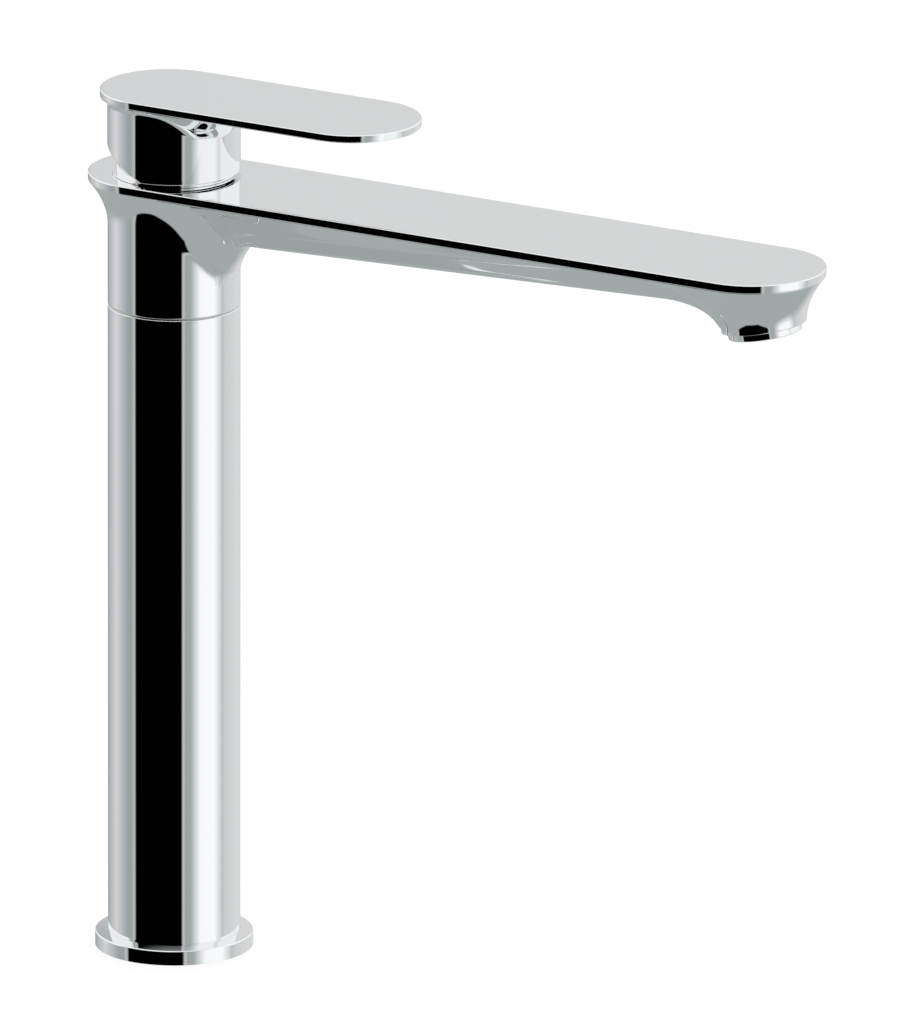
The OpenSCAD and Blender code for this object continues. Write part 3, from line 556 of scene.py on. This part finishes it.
def keelDrop(a, y, depth, crease):
    # the wall leaves the crease straight and touches the round of the keel
    rho = a["keelRound"]
    wide, deep = a["creaseHalf"] - a["keelHalf"], depth - rho - crease
    start = acos(min(rho / sqrt(wide ** 2 + deep ** 2), 1)) - atan2(deep, wide)
    touch = a["keelHalf"] + rho * cos(start)
    if y < a["keelHalf"]:
        return depth
    if y < touch:
        return depth - rho + sqrt(rho ** 2 - (y - a["keelHalf"]) ** 2)
    return depth - rho + rho * sin(start) - (y - touch) / tan(start)


def armDrop(a, s, x, y):
    share = (x - a["rootX"]) / (a["tipX"] - a["rootX"])
    depth = mix(*a["depth"], clamp(share, 0, 1))
    crease = mix(*a["crease"], share)
    rimY = s["width"] / 2 - 2 * s["inset"]
    ceiling = crease * (rimY - max(y, a["creaseHalf"])) / (rimY - a["creaseHalf"])
    drop = softMax(ceiling, keelDrop(a, y, depth, crease), a["creaseSoft"])
    tip = clamp((x - a["tipX"]) / a["tipFilletX"], 0, a["tipFilletMost"])
    drop += a["tipFilletZ"] * (1 - sqrt(1 - tip * tip)) * max(1 - (y / a["tipFilletY"]) ** 2, 0) ** 2
    flare = flareDrop(sqrt(x * x + y * y), s["radius"], neckOver(atan2(y, x)), neckFlare) - a["sink"]
    fromNeck = clamp((x - s["radius"] + a["rootIn"]) / a["blendRun"], 0, 1)
    fromRim = clamp((rimY - y) / a["blendRim"], 0, 1)
    return softMax(drop, flare, a["blend"] * fromNeck * fromRim)


def makeArm(a, s, steps=(70, 40, 24), across=64):
    # sections across the arm, closer together in the blends into the neck and the nozzle
    startX = s["radius"] - a["rootIn"]
    stops = (startX, startX + a["rootRun"], a["tipX"], nozzle["x"] - nozzle["radius"] + a["tipIn"])
    stations = [startX]
    for low, high, count in zip(stops, stops[1:], steps):
        stations += [mix(low, high, (k + 1) / count) for k in range(count)]
    rimY = s["width"] / 2 - 2 * s["inset"]
    sides = [rimY * (1 - k / across) for k in range(across + 1)]
    places = []
    for x in stations:
        half = [(x, rimY, s["rim"] + intoPlate)] + [(x, y, s["rim"] - armDrop(a, s, x, y)) for y in sides]
        section = half + [(x, -y, z) for x, y, z in reversed(half[:-1])]
        places.append(lambda i, section=section: section[i])
    bm, last = loft(2 * across + 3, places)
    closeLoft(bm)
    return bm


def makeSpout(s):
    half = s["width"] / 2
    plate = makePlate(half - s["back"], s["reach"] - half, half, s["rim"], s["plateTop"], s["edge"],
                      hole=s["bore"])
    newPiece("spoutPlate", plate, "chrome", "spout", "spout_head", weighted=True)
    newPiece("spoutNeck", makeNeck(s), "chrome", "spout", "spout_head")
    newPiece("spoutArm", makeArm(arm, s), "chrome", "spout", "spout_head")
    newPiece("spoutNozzle", makeNozzle(nozzle, s), "chrome", "spout", "spout_head")


def makeAerator(a):
    inner = a["radius"] - a["wall"]
    lipInner, lipTop = inner - a["lip"], a["lipThick"] - a["out"]
    bm = turned([(inner, a["in"]), (a["radius"], a["in"]), (a["radius"], -a["out"]), (lipInner, -a["out"]),
                 (lipInner, lipTop), (inner, lipTop)], steps=160)
    softenEdges(bm, a["edge"], least=60)
    tilt = Matrix.Rotation(-radians(nozzle["tilt"]), 4, "Y")
    place = Matrix.Translation((nozzle["x"] * mm, 0, (spout["rim"] - nozzle["drop"]) * mm))
    bmesh.ops.transform(bm, matrix=place @ tilt, verts=bm.verts)
    newPiece("aeratorShell", bm, "chrome", "spout", "aerator_shell", weighted=True)


makeSpout(spout)
makeAerator(aerator)
print("spout made")

# Lever and the dome under it
lever = {
    "top": 301.6, "rim": 298.8, "width": 46.4, "back": 25.4, "reach": 93.1, "edge": 0.5, "inset": 0.1,
    "skirt": 22.6, "bore": 20.2, "roof": 298.4, "foot": 273.8, "footEdge": (0.1, 0.03), "footTop": 0.4,
    "lift": 25.0,    # degrees; the back of the skirt's foot is cut so that the lever can lift
}
leverFlare = {
    "least": 1.6, "rate": 1.1, "limit": (11.0, 11.0), "level": 6, "widest": 10.0, "power": 1.7,
    "deepest": 11.0,
}
dome = {
    "radius": 19.6, "middle": 273.3, "openAngle": 35.3, "angleStep": 3, "wall": 0.9, "foot": 272.4,
    "flange": 20.9, "thick": 0.6,
    "wallTurn": (0.75, 0.6),    # how much of the wall lies inwards and how much down, along the dome
}


def makeSkirt(h, sides=256, steps=48):
    half = h["width"] / 2
    size, middle = h["footEdge"]

    def foot(radius, up):
        def pointAt(angle):
            x, y = radius * cos(angle), radius * sin(angle)
            return (x, y, h["foot"] + tan(radians(h["lift"])) * max(-x, 0) + up)
        return ringOf(sides, pointAt)

    def wall(depth, z):
        def pointAt(angle):
            over = overhang(angle, half - h["inset"], half - h["back"], h["skirt"], leverFlare["widest"])
            out = flaredRadius(depth, h["skirt"], over, leverFlare)
            return (out * cos(angle), out * sin(angle), z)
        return ringOf(sides, pointAt)

    places = [circle(sides, h["bore"], h["roof"]), foot(h["bore"], size), foot(h["bore"] + size, 0),
              foot(h["skirt"] - size, 0), foot(h["skirt"] - middle, middle), foot(h["skirt"], size),
              foot(h["skirt"], h["footTop"])]
    depths = [leverFlare["deepest"] * (1 - k / steps) for k in range(steps + 1)]
    places += [wall(depth, h["rim"] - depth) for depth in depths]
    places.append(wall(0, h["rim"] + intoPlate))
    bm, last = loft(sides, places)
    closeLoft(bm)
    return bm


def makeLever(h):
    half = h["width"] / 2
    plate = makePlate(half - h["back"], h["reach"] - half, half, h["rim"], h["top"], h["edge"])
    newPiece("leverPlate", plate, "chrome", "lever", "lever_handle", weighted=True)
    newPiece("leverSkirt", makeSkirt(h), "chrome", "lever", "lever_handle")


def makeDome(d):
    angles = [radians(a) for a in (*range(0, int(d["openAngle"]), d["angleStep"]), d["openAngle"])]
    outer = [(d["radius"] * cos(a), d["middle"] + d["radius"] * sin(a)) for a in angles]
    inwards, down = (d["wall"] * share for share in d["wallTurn"])
    inside = [(r - inwards, z - down) for r, z in reversed(outer)]
    low = d["foot"] + d["thick"]
    bm = turned([(d["flange"], d["foot"]), (d["flange"], low), (d["radius"], low)] + outer + inside[:-1]
                + [(d["radius"] - d["wall"], d["foot"])])
    newPiece("domeCover", bm, "chrome", "column", "dome_cover")


plug = {"radius": 3.0, "height": 293.3, "from": 20.75, "to": 22.75, "edge": 0.3}
swivelScrew = {"radius": 1.5, "height": 234.6, "from": 21.0, "to": 22.58, "edge": 0.1}


def makeButton(name, b, finishName, body, node):
    # a small round end that looks out of the back of the tap
    bm = bmesh.new()
    bmesh.ops.create_cone(bm, cap_ends=True, segments=64, radius1=b["radius"] * mm, radius2=b["radius"] * mm,
                          depth=(b["to"] - b["from"]) * mm)
    softenEdges(bm, b["edge"], least=60, test=lambda e: all(v.co.z > 0 for v in e.verts))
    place = Matrix.Translation((-(b["to"] + b["from"]) / 2 * mm, 0, b["height"] * mm))
    bmesh.ops.transform(bm, matrix=place @ Matrix.Rotation(-pi / 2, 4, "Y"), verts=bm.verts)
    newPiece(name, bm, finishName, body, node, weighted=True)


makeLever(lever)
makeDome(dome)
makeButton("screwPlug", plug, "chromedPlastic", "lever", "screw_plug")
makeButton("swivelScrew", swivelScrew, "steel", "spout", "swivel_screw")
print("lever made")

# Floor: its glow keeps the shadow as faint as in the photo
floor = {"half": 12.0, "tone": 0.35, "glow": 0.7, "roughness": 0.9}


def makeFloor(f):
    bm = bmesh.new()
    bmesh.ops.create_grid(bm, x_segments=1, y_segments=1, size=f["half"])
    mesh = bpy.data.meshes.new("floor")
    bm.to_mesh(mesh)
    bm.free()
    obj = bpy.data.objects.new("floor", mesh)
    bpy.context.scene.collection.objects.link(obj)
    material = bpy.data.materials.new("paleFloor")
    material.use_nodes = True
    shader = material.node_tree.nodes["Principled BSDF"].inputs
    shader["Base Color"].default_value = grey(f["tone"])
    shader["Emission Color"].default_value = grey(1)
    shader["Emission Strength"].default_value = f["glow"]
    shader["Roughness"].default_value = f["roughness"]
    shader["Specular IOR Level"].default_value = 0
    mesh.materials.append(material)
    obj.visible_glossy = False       # the metal mirrors the studio's own floor tone


makeFloor(floor)
print("floor laid")
